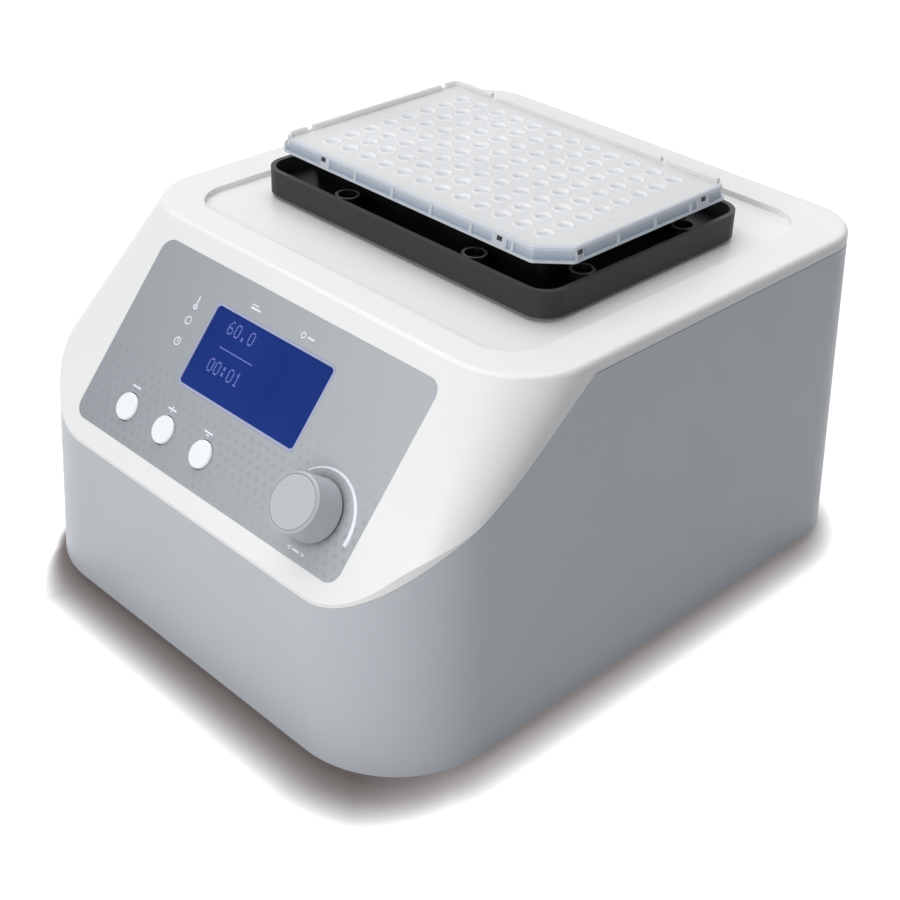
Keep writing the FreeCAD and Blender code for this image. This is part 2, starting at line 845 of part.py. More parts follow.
def fan_blade(front, back, angle):
    """One pitched blade that grows wider and deeper from its root to its tip."""
    sections = []
    middle = (front + back) / 2
    for radius, share in ((rotor_hub_radius - 1, 0.62), (rotor_radius - 1.2, 1.0)):
        sweep = blade_sweep / 2 * share
        reach = (back - front) / 2 * share
        corners = [
            Vec(-sweep - blade_half, middle - reach, radius),
            Vec(-sweep + blade_half, middle - reach, radius),
            Vec(sweep + blade_half, middle + reach, radius),
            Vec(sweep - blade_half, middle + reach, radius),
        ]
        sections.append(Part.makePolygon(corners + corners[:1]))
    blade = Part.makeLoft(sections, True, True)
    blade.rotate(Vec(0, 0, 0), Vec(0, 1, 0), angle)
    blade.translate(Vec(fan_x, 0, fan_z))
    return blade


def make_rear():
    seat = rear_recess_y
    flange = 1.6
    fit = 0.1
    half_x = inlet_width / 2
    half_z = inlet_height / 2
    plate = rear_box(inlet_x, inlet_z, half_x + 4, half_z + 3, seat, seat + flange)
    core = rear_box(inlet_x, inlet_z, half_x - fit, half_z - fit, seat - 22, seat)
    inlet = joined([plate, core])
    socket_z = inlet_z - 4.8
    socket_half_x = 11.5
    socket_half_z = 8.4
    depth = 16.0
    mouth = seat + flange + 1
    socket_floor = seat + flange - depth
    socket = rear_box(inlet_x, socket_z, socket_half_x, socket_half_z, socket_floor, mouth)
    drawer_z = inlet_z + 9.8
    drawer_half_x = 9.0
    drawer_half_z = 3.6
    drawer_depth = 18.0
    drawer_floor = seat + flange - drawer_depth
    drawer_hole = rear_box(inlet_x, drawer_z, drawer_half_x, drawer_half_z, drawer_floor, mouth)
    inlet = inlet.cut([socket, drawer_hole])
    pins = []
    for x, z in ((-7.0, -1.9), (7.0, -1.9), (0.0, 1.9)):
        pins.append(rear_box(inlet_x + x, socket_z + z, 1, 2, seat - 18, seat - 1))
    save("power_inlet", inlet.cut(pins))
    save("inlet_pins", Part.makeCompound(pins))
    gap = 0.2
    half_drawer_x = drawer_half_x - gap
    half_drawer_z = drawer_half_z - gap
    drawer = rear_box(inlet_x, drawer_z, half_drawer_x, half_drawer_z, drawer_floor + gap, seat + flange)
    fuse_bay = box(inlet_x - 7, inlet_x + 7, seat - drawer_depth + 4, seat - 2, drawer_z - 2, drawer_z + 10)
    grip = rear_box(inlet_x, drawer_z - 2.9, 4, 0.7, seat + flange - 0.8, seat + flange + 1)
    save("fuse_drawer", drawer.cut([fuse_bay, grip]))
    sw_x = switch_width / 2
    sw_z = switch_height / 2
    rim = rear_box(inlet_x, switch_z, sw_x + 1.5, sw_z + 1.5, seat, seat + flange)
    case = rear_box(inlet_x, switch_z, sw_x - fit, sw_z - fit, seat - 14, seat)
    hollow = rear_box(inlet_x, switch_z, sw_x - 2, sw_z - 1.5, seat - 9, seat + flange + 1)
    pivot_y = seat + flange - rocker_pivot_depth
    pin_hole = rod(rocker_pin_radius + running_clearance, switch_z - sw_z, switch_z + sw_z, inlet_x, pivot_y)
    save("switch_frame", joined([rim, case]).cut([hollow, pin_hole]))
    save("power_rocker", rocker(pivot_y, sw_x - 3.2, sw_z - 1.9, sw_z - 0.5))


def rocker(pivot_y, half_x, half_z, pin_half):
    """A rocker with a shallow vee face, tilted about the vertical pin at its pivot."""
    face_y = pivot_y + rocker_pivot_depth
    heel = pivot_y + 1.0
    toe = pivot_y - 2.5
    points = [
        Vec(inlet_x - half_x, face_y + 0.8, 0),
        Vec(inlet_x, face_y - 0.6, 0),
        Vec(inlet_x + half_x, face_y + 0.8, 0),
        Vec(inlet_x + half_x, heel, 0),
        Vec(inlet_x + 2.0, toe, 0),
        Vec(inlet_x - 2.0, toe, 0),
        Vec(inlet_x - half_x, heel, 0),
    ]
    face = Part.Face(Part.makePolygon(points + points[:1]))
    face.translate(Vec(0, 0, switch_z - half_z))
    pin = rod(rocker_pin_radius, switch_z - pin_half, switch_z + pin_half, inlet_x, pivot_y)
    solid = joined([face.extrude(Vec(0, 0, 2 * half_z)), pin])
    solid.rotate(Vec(inlet_x, pivot_y, 0), UP, -rocker_tilt)
    return solid


def make_boards():
    board_low = base_inside + board_gap
    board_top = board_low + board_thickness
    half_x = power_length / 2
    half_y = power_width / 2
    y = front_bay_y
    board = box(power_x - half_x, power_x + half_x, y - half_y, y + half_y, board_low, board_top)
    save("power_board", board)
    coil = box(power_x - 22, power_x + 6, y - 17, y + 17, board_top, board_top + 26)
    core = box(power_x - 18, power_x + 2, y - 21, y + 21, board_top + 6, board_top + 19)
    save("power_transformer", joined([coil, core]))
    caps = []
    for offset in (-14, 4):
        caps.append(prism(12, 6, board_top, board_top + 22, power_x + 22, y + offset))
    save("power_capacitors", Part.makeCompound(caps))
    half_x = control_length / 2
    half_y = control_width / 2
    board = box(control_x - half_x, control_x + half_x, y - half_y, y + half_y, board_low, board_top)
    save("control_board", board)
    chips = [
        box(control_x - 9, control_x + 9, y - 9, y + 9, board_top, board_top + 2),
        box(control_x + 14, control_x + 26, y - 20, y - 12, board_top, board_top + 3),
        box(control_x - 28, control_x - 18, y + 4, y + 24, board_top, board_top + 9),
        box(control_x + 12, control_x + 28, y + 6, y + 24, board_top, board_top + 12),
    ]
    save("board_components", Part.makeCompound(chips))
    spacers = []
    boards = ((power_x, power_length, power_width), (control_x, control_length, control_width))
    for cx, reach_x, reach_y in boards:
        for dx, dy in four(reach_x / 2 - 4, reach_y / 2 - 4):
            spacers.append(prism(6, 2.8, base_inside, board_low, cx + dx, y + dy))
    save("board_spacers", Part.makeCompound(spacers))


def prism(sides, radius, z0, z1, x=0.0, y=0.0):
    """An upright regular prism whose flats are at the stated radius."""
    reach = radius / math.cos(math.pi / sides)
    points = []
    for index in range(sides):
        angle = (2 * index + 1) * math.pi / sides
        points.append(Vec(x + reach * math.cos(angle), y + reach * math.sin(angle), z0))
    return Part.Face(Part.makePolygon(points + points[:1])).extrude(Vec(0, 0, z1 - z0))


def boss_places():
    front_y = boss_from_front - base_depth / 2
    back_y = base_depth / 2 - boss_from_back
    return [(sx * boss_x, y) for sx in (-1, 1) for y in (front_y, back_y)]


def bezel_block(fit, z0, z1):
    """The display bezel's outline on the panel, made smaller by the fit."""
    half_x = display_width / 2 + bezel_width - fit
    half_y = display_height / 2 + bezel_width - fit
    return rounded_block(half_x, half_y, display_corner + bezel_width, z0, z1, display_x, display_v)


def display_box(fit, z0, z1):
    half_x = display_width / 2 - fit
    half_y = display_height / 2 - fit
    return rounded_block(half_x, half_y, display_corner, z0, z1, display_x, display_v)


def rear_box(x, z, half_x, half_z, y0, y1):
    return box(x - half_x, x + half_x, y0, y1, z - half_z, z + half_z)


def idler_places():
    return [("left", -idler_x, -idler_y), ("right", idler_x, -idler_y), ("back", 0.0, idler_y)]


def main():
    os.makedirs("parts", exist_ok=True)
    make_shells()
    make_base()
    make_panel()
    make_buttons()
    make_knob()
    make_plate()
    make_block()
    make_frame()
    make_cooling_stack()
    make_table()
    make_drive()
    make_fan()
    make_rear()
    make_boards()


main()
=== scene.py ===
import json
import math

import bmesh
import bpy
from mathutils import Matrix, Vector


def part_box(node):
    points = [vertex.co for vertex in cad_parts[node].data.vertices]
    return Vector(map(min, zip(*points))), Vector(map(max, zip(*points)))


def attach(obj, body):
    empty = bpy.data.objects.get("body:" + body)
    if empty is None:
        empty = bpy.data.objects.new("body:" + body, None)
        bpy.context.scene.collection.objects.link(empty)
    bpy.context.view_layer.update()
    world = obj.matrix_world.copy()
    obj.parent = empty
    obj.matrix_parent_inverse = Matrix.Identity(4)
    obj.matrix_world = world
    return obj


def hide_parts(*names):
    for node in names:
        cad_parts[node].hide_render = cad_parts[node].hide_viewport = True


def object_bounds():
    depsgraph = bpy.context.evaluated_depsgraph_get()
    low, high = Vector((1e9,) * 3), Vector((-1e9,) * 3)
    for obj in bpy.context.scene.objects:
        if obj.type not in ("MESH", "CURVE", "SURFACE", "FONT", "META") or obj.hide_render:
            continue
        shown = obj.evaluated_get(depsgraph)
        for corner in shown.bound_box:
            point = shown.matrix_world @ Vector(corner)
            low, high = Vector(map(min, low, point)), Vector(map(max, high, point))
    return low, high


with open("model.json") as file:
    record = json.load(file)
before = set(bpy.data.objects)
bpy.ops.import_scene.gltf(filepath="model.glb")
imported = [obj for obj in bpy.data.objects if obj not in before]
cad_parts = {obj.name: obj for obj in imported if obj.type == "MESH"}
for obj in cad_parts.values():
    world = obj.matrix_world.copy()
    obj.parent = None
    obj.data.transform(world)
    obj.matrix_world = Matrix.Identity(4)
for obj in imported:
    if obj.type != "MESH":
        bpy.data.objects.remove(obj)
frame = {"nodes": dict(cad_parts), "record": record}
nodes = frame["nodes"]
rest_low, rest_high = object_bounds()

# Places of the panel and of the plate, taken from the CAD nodes
SLOPE = math.radians(50.6)
UP_SLOPE = Vector((0, math.cos(SLOPE), math.sin(SLOPE)))
FILM_FIT = 0.00005
FILM_THICKNESS = 0.0006
film_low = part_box("panel_overlay")[0]
ORIGIN = Vector((0, film_low[1], film_low[2])) - UP_SLOPE * FILM_FIT
ORIGIN.z += FILM_THICKNESS * math.cos(SLOPE)
PANEL_MATRIX = Matrix.Translation(ORIGIN) @ Matrix.Rotation(SLOPE, 4, "X")
KNOB = (0.047, 0.0163)
plate_low, plate_high = (Vector(corner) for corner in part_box("microplate"))
PLATE_X, PLATE_Y = ((plate_low + plate_high) / 2).xy

# Sizes of the plate that its materials need too
LIP = 0.0015
DECK = plate_high.z - LIP
SKIRT_FOOT = DECK - 0.0050
PANEL_LOW = SKIRT_FOOT + 0.0008
PANEL_HIGH = DECK - 0.0012


# Materials
def lin(r, g, b):
    """Display values 0-255 to linear."""
    out = []
    for c in (r, g, b):
        c /= 255.0
        out.append(c / 12.92 if c <= 0.04045 else ((c + 0.055) / 1.055) ** 2.4)
    return (*out, 1.0)


def shade(colour, factor):
    """A colour made darker or lighter."""
    return (colour[0] * factor, colour[1] * factor, colour[2] * factor, 1.0)


class Tree:
    """A short way to write a node tree."""

    def __init__(self, name):
        self.mat = bpy.data.materials.new(name)
        self.mat.use_nodes = True
        self.nt = self.mat.node_tree
        self.nt.nodes.clear()
        self.out = self.add("ShaderNodeOutputMaterial")
        self.coord = self.add("ShaderNodeTexCoord")

    def add(self, kind, **props):
        node = self.nt.nodes.new(kind)
        for key, value in props.items():
            setattr(node, key, value)
        return node

    def put(self, socket, value):
        if hasattr(value, "is_output"):
            self.nt.links.new(value, socket)
        else:
            socket.default_value = value

    def math(self, op, a, b=None, clamp=False):
        node = self.add("ShaderNodeMath", operation=op, use_clamp=clamp)
        self.put(node.inputs[0], a)
        if b is not None:
            self.put(node.inputs[1], b)
        return node.outputs[0]

    def length(self, a, b):
        squares = self.math("ADD", self.math("MULTIPLY", a, a), self.math("MULTIPLY", b, b))
        return self.math("SQRT", squares)

    def noise(self, scale, detail=2.0, rough=0.5, vector=None):
        node = self.add("ShaderNodeTexNoise")
        node.inputs["Scale"].default_value = scale
        node.inputs["Detail"].default_value = detail
        node.inputs["Roughness"].default_value = rough
        self.put(node.inputs["Vector"], vector or self.coord.outputs["Object"])
        return node.outputs["Fac"]

    def ramp(self, value, low, high, out_low=0.0, out_high=1.0):
        node = self.add("ShaderNodeMapRange")
        node.clamp = True
        self.put(node.inputs["Value"], value)
        for key, number in (("From Min", low), ("From Max", high), ("To Min", out_low), ("To Max", out_high)):
            self.put(node.inputs[key], number)
        return node.outputs["Result"]

    def mix(self, factor, a, b):
        node = self.add("ShaderNodeMix", data_type="RGBA")
        self.put(node.inputs[0], factor)
        self.put(node.inputs[6], a)
        self.put(node.inputs[7], b)
        return node.outputs[2]

    def mapped(self, rotation=(0, 0, 0), location=(0, 0, 0), scale=(1, 1, 1)):
        node = self.add("ShaderNodeMapping")
        node.inputs["Rotation"].default_value = rotation
        node.inputs["Location"].default_value = location
        node.inputs["Scale"].default_value = scale
        self.nt.links.new(self.coord.outputs["Object"], node.inputs["Vector"])
        return node.outputs["Vector"]

    def xyz(self, vector):
        node = self.add("ShaderNodeSeparateXYZ")
        self.put(node.inputs[0], vector)
        return node.outputs

    def bump(self, height, strength, distance):
        node = self.add("ShaderNodeBump")
        node.inputs["Strength"].default_value = strength
        node.inputs["Distance"].default_value = distance
        self.put(node.inputs["Height"], height)
        return node.outputs["Normal"]

    def surface(self, colour, rough, metal=0.0, normal=None, **more):
        node = self.add("ShaderNodeBsdfPrincipled")
        self.put(node.inputs["Base Color"], colour)
        self.put(node.inputs["Roughness"], rough)
        self.put(node.inputs["Metallic"], metal)
        if normal is not None:
            self.put(node.inputs["Normal"], normal)
        for key, value in more.items():
            self.put(node.inputs[key.replace("_", " ")], value)
        self.nt.links.new(node.outputs[0], self.out.inputs[0])
        return node

    def mixed_surface(self, factor, first, second):
        """A mix of two shaders as the material's surface."""
        node = self.add("ShaderNodeMixShader")
        self.put(node.inputs[0], factor)
        self.nt.links.new(first.outputs[0], node.inputs[1])
        self.nt.links.new(second.outputs[0], node.inputs[2])
        self.nt.links.new(node.outputs[0], self.out.inputs[0])


def moulded(name, colour, rough=0.4, grain=1800.0, depth=0.15, blotch=0.04, **more):
    """Moulded or painted plastic: faint mottling, uneven sheen and a fine grain."""
    t = Tree(name)
    broad = t.noise(14.0, 3.0)
    fine = t.noise(grain, 2.0, 0.6)
    tone = t.ramp(broad, 0.3, 0.7)
    base = t.mix(tone, shade(colour, 1.0 - blotch), shade(colour, 1.0 + blotch))
    sheen = t.ramp(t.noise(90.0, 3.0), 0.25, 0.75, rough - 0.04, rough + 0.05)
    t.surface(base, sheen, normal=t.bump(fine, depth, 0.00005), **more)
    return t.mat


def metal(name, colour, rough=0.3, stretch=(1, 1, 60), grain=220.0, depth=0.2):
    """Bare or anodised metal with drawn or milled lines along one axis."""
    t = Tree(name)
    lines = t.noise(grain, 3.0, 0.6, t.mapped(scale=stretch))
    tone = t.ramp(lines, 0.3, 0.7)
    base = t.mix(tone, shade(colour, 0.9), shade(colour, 1.08))
    sheen = t.ramp(t.noise(60.0, 3.0), 0.3, 0.7, rough - 0.06, rough + 0.08)
    t.surface(base, sheen, 1.0, t.bump(lines, depth, 0.00004))
    return t.mat


def board(name):
    """A circuit board: lacquered green with copper tracks running under it."""
    t = Tree(name)
    cell = t.add("ShaderNodeTexBrick")
    cell.inputs["Scale"].default_value = 160.0
    cell.inputs["Mortar Size"].default_value = 0.06
    t.put(cell.inputs["Vector"], t.coord.outputs["Object"])
    track = t.mix(t.ramp(t.noise(420.0), 0.5, 0.52), cell.outputs["Fac"], (0, 0, 0, 1))
    base = t.mix(track, lin(22, 84, 44), lin(44, 122, 66))
    t.surface(base, t.ramp(t.noise(50.0), 0.3, 0.7, 0.28, 0.42), normal=t.bump(track, 0.4, 0.00005))
    return t.mat


def panel_place(t):
    """How far across and how far up the panel a point lies."""
    shift = Matrix.Rotation(-SLOPE, 3, "X") @ ORIGIN
    return t.xyz(t.mapped(rotation=(-SLOPE, 0, 0), location=tuple(-shift)))[:2]


DOT_PITCH = 0.0037
ROW_STEP = 0.866


def dot_field(t, x, v):
    """Round dots in rows that are set off by half a step, each 1 at its middle."""
    row = t.math("DIVIDE", v, DOT_PITCH * ROW_STEP)
    odd = t.math("MODULO", t.math("ABSOLUTE", t.math("FLOOR", row)), 2.0)
    column = t.math("ADD", t.math("DIVIDE", x, DOT_PITCH), t.math("MULTIPLY", odd, 0.5))
    across = t.math("SUBTRACT", t.math("FRACT", column), 0.5)
    along = t.math("MULTIPLY", t.math("SUBTRACT", t.math("FRACT", row), 0.5), ROW_STEP)
    return t.ramp(t.length(across, along), 0.17, 0.30, 1.0, 0.0)


def panel_film(name):
    """The panel's film: a soft gradient, a field of darker dots that fades out and a ring of painted shade
    round the knob's seat.
    """
    t = Tree(name)
    x, v = panel_place(t)
    low_part = t.ramp(v, 0.012, 0.050, 1.0, 0.0)
    side = t.ramp(x, -0.068, 0.030, 0.75, 1.0)
    patchy = t.ramp(t.noise(38.0), 0.30, 0.62, 0.25, 1.0)
    dots = t.math("MULTIPLY", dot_field(t, x, v), low_part)
    weight = t.math("MULTIPLY", dots, t.math("MULTIPLY", side, patchy))
    wash = t.ramp(t.math("ADD", x, t.math("MULTIPLY", v, 0.6)), -0.06, 0.09)
    base = t.mix(wash, lin(149, 154, 158), lin(178, 181, 185))
    base = t.mix(t.math("MULTIPLY", weight, 0.30), base, lin(118, 124, 130))
    # Painted shade: a dark ring round the knob's seat, darkest next to the knob and fading out
    from_knob = t.length(t.math("SUBTRACT", x, KNOB[0]), t.math("SUBTRACT", v, KNOB[1]))
    base = t.mix(t.ramp(from_knob, 0.0104, 0.0128, 0.38, 0.0), base, lin(74, 78, 84))
    normal = t.bump(t.noise(2600.0), 0.08, 0.00003)
    t.surface(base, t.ramp(t.noise(70.0), 0.3, 0.7, 0.36, 0.46), normal=normal)
    return t.mat


DISPLAY_CELL = 0.00045


def display_blue(name):
    """The lit display: deep blue with a fine pixel grid and a slightly uneven glow."""
    t = Tree(name)
    from_middle = []
    for place in panel_place(t):
        cell = t.math("FRACT", t.math("DIVIDE", place, DISPLAY_CELL))
        from_middle.append(t.math("ABSOLUTE", t.math("SUBTRACT", cell, 0.5)))
    grid = t.ramp(t.math("MAXIMUM", *from_middle), 0.40, 0.50)
    glow = t.ramp(t.noise(40.0, 1.0), 0.3, 0.7)
    base = t.mix(glow, lin(24, 42, 100), lin(28, 47, 108))
    base = t.mix(t.math("MULTIPLY", grid, 0.25), base, lin(19, 33, 92))
    t.surface(base, 0.5, Emission_Color=base, Emission_Strength=0.55, Specular_IOR_Level=0.0)
    return t.mat


def lit(name, colour, strength):
    """A display's digit, which gives off a little light, or a print, which is given a painted glow."""
    t = Tree(name)
    base = t.mix(t.ramp(t.noise(300.0), 0.3, 0.7), shade(colour, 0.93), colour)
    t.surface(base, 0.5, Emission_Color=base, Emission_Strength=strength)
    return t.mat


def clear_window(name):
    """Clear acrylic, with a faint uneven sheen."""
    t = Tree(name)
    gloss = t.add("ShaderNodeBsdfGlossy")
    t.put(gloss.inputs["Roughness"], t.ramp(t.noise(60.0), 0.3, 0.7, 0.06, 0.12))
    clear = t.add("ShaderNodeBsdfTransparent")
    fresnel = t.add("ShaderNodeFresnel")
    fresnel.inputs["IOR"].default_value = 1.35
    t.mixed_surface(t.math("MULTIPLY", fresnel.outputs[0], 0.04), clear, gloss)
    return t.mat


def milky(name, colour, through=0.35, **more):
    """Thin natural polypropylene: some light passes through and the sheen is waxy."""
    t = Tree(name)
    broad = t.ramp(t.noise(30.0, 3.0), 0.3, 0.7)
    base = t.mix(broad, shade(colour, 0.96), shade(colour, 1.02))
    normal = t.bump(t.noise(1200.0), 0.1, 0.00005)
    body = t.surface(base, t.ramp(t.noise(80.0), 0.3, 0.7, 0.27, 0.38), normal=normal, **more)
    thin = t.add("ShaderNodeBsdfTranslucent")
    t.put(thin.inputs["Color"], base)
    t.mixed_surface(through, body, thin)
    return t.mat


def skirt_panel(name):
    """The skirt's thin wall, with painted shade: bluish grey at its foot and fading to the plate's white at
    its top.
    """
    t = Tree(name)
    z = t.xyz(t.coord.outputs["Object"])[2]
    # Painted shade: darker and bluer from the panels' top down to their foot
    base = t.mix(t.ramp(z, PANEL_LOW, PANEL_HIGH), lin(130, 147, 167), lin(208, 213, 221))
    base = t.mix(t.ramp(t.noise(420.0), 0.3, 0.7, 0.0, 0.22), base, lin(168, 179, 191))
    t.surface(base, t.ramp(t.noise(90.0), 0.3, 0.7, 0.27, 0.36))
    return t.mat


MATERIALS = {
    "housing_plastic": moulded("housing paint", lin(192, 195, 200), 0.38, 2200.0, 0.10, 0.012),
    "cover_plastic": moulded("cover white", lin(238, 237, 235), 0.34, 1600.0, 0.06, 0.008),
    "base_steel": moulded("base powder coat", lin(150, 153, 156), 0.55, 900.0, 0.35, 0.03),
    "foot_rubber": moulded("foot rubber", lin(38, 38, 39), 0.75, 700.0, 0.5, 0.08),
    "panel_film": panel_film("panel film"),
    "bezel_plastic": moulded("display surround", lin(164, 169, 198), 0.35, 1500.0, 0.05, 0.015),
    "window_clear": clear_window("display window"),
    "display_face": moulded("display carrier", lin(30, 44, 110), 0.45, 900.0, 0.1, 0.04),
    "board_green": board("circuit board"),
    "standoff_brass": metal("standoff brass", lin(196, 168, 104), 0.3, (60, 60, 1)),
    "black_plastic": moulded("black plastic", lin(34, 34, 36), 0.45, 1100.0, 0.25, 0.06),
    "zinc": metal("zinc", lin(178, 178, 180), 0.4),
    "coil_tape": moulded("coil tape", lin(206, 168, 72), 0.4, 500.0, 0.3, 0.06),
    "capacitor_sleeve": moulded("capacitor sleeve", lin(36, 42, 66), 0.25, 900.0, 0.1, 0.05),
    "pin_nickel": metal("nickel", lin(206, 204, 196), 0.2),
    "rocker_plastic": moulded("rocker", lin(30, 30, 32), 0.3, 1500.0, 0.08, 0.05),
    "aluminium_plain": metal("plain aluminium", lin(202, 204, 206), 0.34, (1, 40, 40)),
    "steel_turned": metal("turned steel", lin(184, 184, 186), 0.26, (1, 1, 80)),
    "motor_paint": moulded("motor paint", lin(44, 44, 46), 0.4, 800.0, 0.2, 0.05),
    "ceramic_white": moulded("ceramic", lin(230, 229, 224), 0.5, 900.0, 0.15, 0.03),
    "foam_grey": moulded("foam", lin(70, 70, 72), 0.9, 400.0, 0.8, 0.12),
    "anodised_dark": metal("black anodised block", lin(44, 45, 47), 0.42, (1, 30, 30), 260.0, 0.15),
    "frame_dark": moulded("frame coating", lin(38, 39, 40), 0.5, 1400.0, 0.2, 0.05, Specular_IOR_Level=0.35),
    "plate_plastic": milky("plate polypropylene", lin(232, 233, 236)),
    "button_plastic": moulded("button white", lin(244, 246, 248), 0.32, 1500.0, 0.05, 0.01),
    "knob_plastic": moulded("knob", lin(185, 189, 192), 0.34, 1500.0, 0.08, 0.015),
}
# Painted glow: the white print on the panel gives off a little light
PRINT_WHITE_PAINTED_GLOW = lit("white print", lin(226, 231, 236), 0.12)
DIGIT = lit("display digits", lin(100, 110, 176), 0.32)
# Painted shade for the groove on the knob's face
GROOVE_PAINTED_SHADE = moulded("knob groove", lin(120, 124, 128), 0.4)
PLATE_WHITE = milky("plate polypropylene", lin(243, 242, 241), 0.25)
# Painted glow: the wells and tubes give off a little light, which lifts their insides out of their shade
WELL_PAINTED_GLOW = lin(226, 226, 226)
PLATE_WELL_PAINTED_GLOW = milky("plate well", lin(244, 243, 242), 0.30, Emission_Color=WELL_PAINTED_GLOW, Emission_Strength=0.36)
# Painted shade: the skirt's plastic is a darker, bluer copy of the deck's white
SKIRT_SHADED_WHITE = milky("skirt polypropylene", lin(224, 228, 234), 0.25)
SKIRT_PANEL_PAINTED_SHADE = skirt_panel("skirt panel")
SLOT_SHADOW = moulded("slot shadow", lin(26, 28, 30), 0.6)
SCREW = metal("screw steel", lin(120, 120, 122), 0.32, (40, 40, 1))
DARK_SCREW = metal("black screw", lin(46, 46, 48), 0.35, (40, 40, 1))
# Painted highlight: the lighter grey of the rings on the bosses' top edges
BOSS_RIM_PAINTED_HIGHLIGHT = moulded("boss rim painted highlight", lin(84, 86, 88), 0.4)

SHARP_ANGLE = math.radians(35.0)
slot_of = {part["node"]: part["material_slot"] for part in frame["record"]["subparts"]}
for name, node in nodes.items():
    node.data.materials.clear()
    node.data.materials.append(MATERIALS[slot_of[name]])
    for polygon in node.data.polygons:
        polygon.use_smooth = True
    node.data.set_sharp_from_angle(angle=SHARP_ANGLE)


# Pieces
def piece(name, mesh, material, body):
    obj = bpy.data.objects.new(name, mesh)
    bpy.context.scene.collection.objects.link(obj)
    mesh.materials.append(material)
    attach(obj, body)
    return obj


def mesh_of(name, verts, faces):
    mesh = bpy.data.meshes.new(name)
    mesh.from_pydata([tuple(v) for v in verts], [], faces)
    mesh.update()
    return mesh


class Builder:
    """Collects simple solids into one mesh, in a frame given by a matrix."""

    def __init__(self, matrix=None):
        self.matrix = matrix or Matrix.Identity(4)
        self.verts = []
        self.faces = []

    def add(self, verts, faces):
        start = len(self.verts)
        self.verts += [self.matrix @ Vector(v) for v in verts]
        self.faces += [tuple(start + i for i in face) for face in faces]

    def box(self, x0, x1, y0, y1, z0, z1):
        verts = [(x, y, z) for z in (z0, z1) for y in (y0, y1) for x in (x0, x1)]
        self.add(verts, [(0, 2, 3, 1), (4, 5, 7, 6), (0, 1, 5, 4), (2, 6, 7, 3), (0, 4, 6, 2), (1, 3, 7, 5)])

    def turned(self, profile, cx, cy, segments):
        """Turns a list of (radius, z) about the vertical line at cx, cy."""
        verts = []
        for i in range(segments):
            a = math.radians(360.0 * i / segments)
            for r, z in profile:
                verts.append((cx + r * math.cos(a), cy + r * math.sin(a), z))
        n = len(profile)
        faces = []
        for i in range(segments):
            j = (i + 1) % segments
            for k in range(n - 1):
                faces.append((i * n + k, j * n + k, j * n + k + 1, i * n + k + 1))
        self.add(verts, faces)

    def mesh(self, name):
        mesh = mesh_of(name, self.verts, self.faces)
        bm = bmesh.new()
        bm.from_mesh(mesh)
        bmesh.ops.remove_doubles(bm, verts=bm.verts, dist=1e-7)
        bmesh.ops.recalc_face_normals(bm, faces=bm.faces)
        bm.to_mesh(mesh)
        bm.free()
        return mesh

    def piece(self, name, material, body, slot):
        piece(name, self.mesh(name), material, body)


# The lit face of the display, on the window
LIT = -0.00036
LIT_THICKNESS = 0.00008
LIT_X = (-0.0291, 0.0271)
LIT_V = (0.02765, 0.05535)
display = Builder(PANEL_MATRIX)
display.box(*LIT_X, *LIT_V, LIT - LIT_THICKNESS, LIT)
display.piece("display_lit_face", display_blue("display blue"), "housing", "display_face")

# The readout: each sign is five dots wide and seven high
SIGNS = {
    "0": ["01110", "10001", "10001", "10001", "10001", "10001", "01110"],
    "1": ["00100", "01100", "00100", "00100", "00100", "00100", "01110"],
    "6": ["00110", "01000", "10000", "11110", "10001", "10001", "01110"],
    ".": ["00000", "00000", "00000", "00000", "00000", "01100", "01100"],
    ":": ["00000", "01100", "01100", "00000", "01100", "01100", "00000"],
    "-": ["00000", "00000", "00000", "11111", "00000", "00000", "00000"],
}
DOT_FILL = 0.8
DOT_LOW, DOT_HIGH = LIT + 0.00001, LIT + 0.00004


def readout(builder, text, left, base, cell_x, cell_y, step):
    """One row of signs from its left end, as flat dots in cells of the stated size."""
    for index, sign in enumerate(text):
        for row, line in enumerate(reversed(SIGNS[sign])):
            for column, bit in enumerate(line):
                if bit == "1":
                    x = left + index * step + column * cell_x
                    y = base + row * cell_y
                    builder.box(x, x + cell_x * DOT_FILL, y, y + cell_y * DOT_FILL, DOT_LOW, DOT_HIGH)


digits = Builder(PANEL_MATRIX)
readout(digits, "60.0", left=-0.0210, base=0.0484, cell_x=0.00052, cell_y=0.00066, step=0.0034)
readout(digits, "-----", left=-0.0204, base=0.0419, cell_x=0.00066, cell_y=0.00050, step=0.0033)
readout(digits, "00:01", left=-0.0214, base=0.0350, cell_x=0.00052, cell_y=0.00066, step=0.0033)
digits.piece("display_digits", DIGIT, "housing", "display_face")

# White prints on the panel
PRINT_HEIGHT = 0.00003
FINE, THIN, BOLD = 0.0003, 0.0004, 0.0006
prints = Builder(PANEL_MATRIX)


def band(points, widths):
    """A flat printed band through the given points, as wide as stated at each."""
    verts = []
    for index, (x, y) in enumerate(points):
        x0, y0 = points[max(index - 1, 0)]
        x1, y1 = points[min(index + 1, len(points) - 1)]
        along = Vector((x1 - x0, y1 - y0)).normalized() * widths[index] / 2
        verts += [(x - along.y, y + along.x, PRINT_HEIGHT), (x + along.y, y - along.x, PRINT_HEIGHT)]
    faces = [(2 * i, 2 * i + 1, 2 * i + 3, 2 * i + 2) for i in range(len(points) - 1)]
    prints.add(verts, faces)


def stroke(points, width):
    band(points, [width] * len(points))


def bar(x, v, half, width):
    stroke([(x - half, v), (x + half, v)], width)


def ring(cx, cy, radius, width, start=0, stop=360, steps=16):
    points = []
    for i in range(steps + 1):
        a = math.radians(start + (stop - start) * i / steps)
        points.append((cx + radius * math.cos(a), cy + radius * math.sin(a)))
    stroke(points, width)


def arrow(x, v, length):
    """A small triangle that points along x."""
    stroke([(x + length, v), (x, v + 0.0006), (x, v - 0.0006), (x + length, v)], FINE)


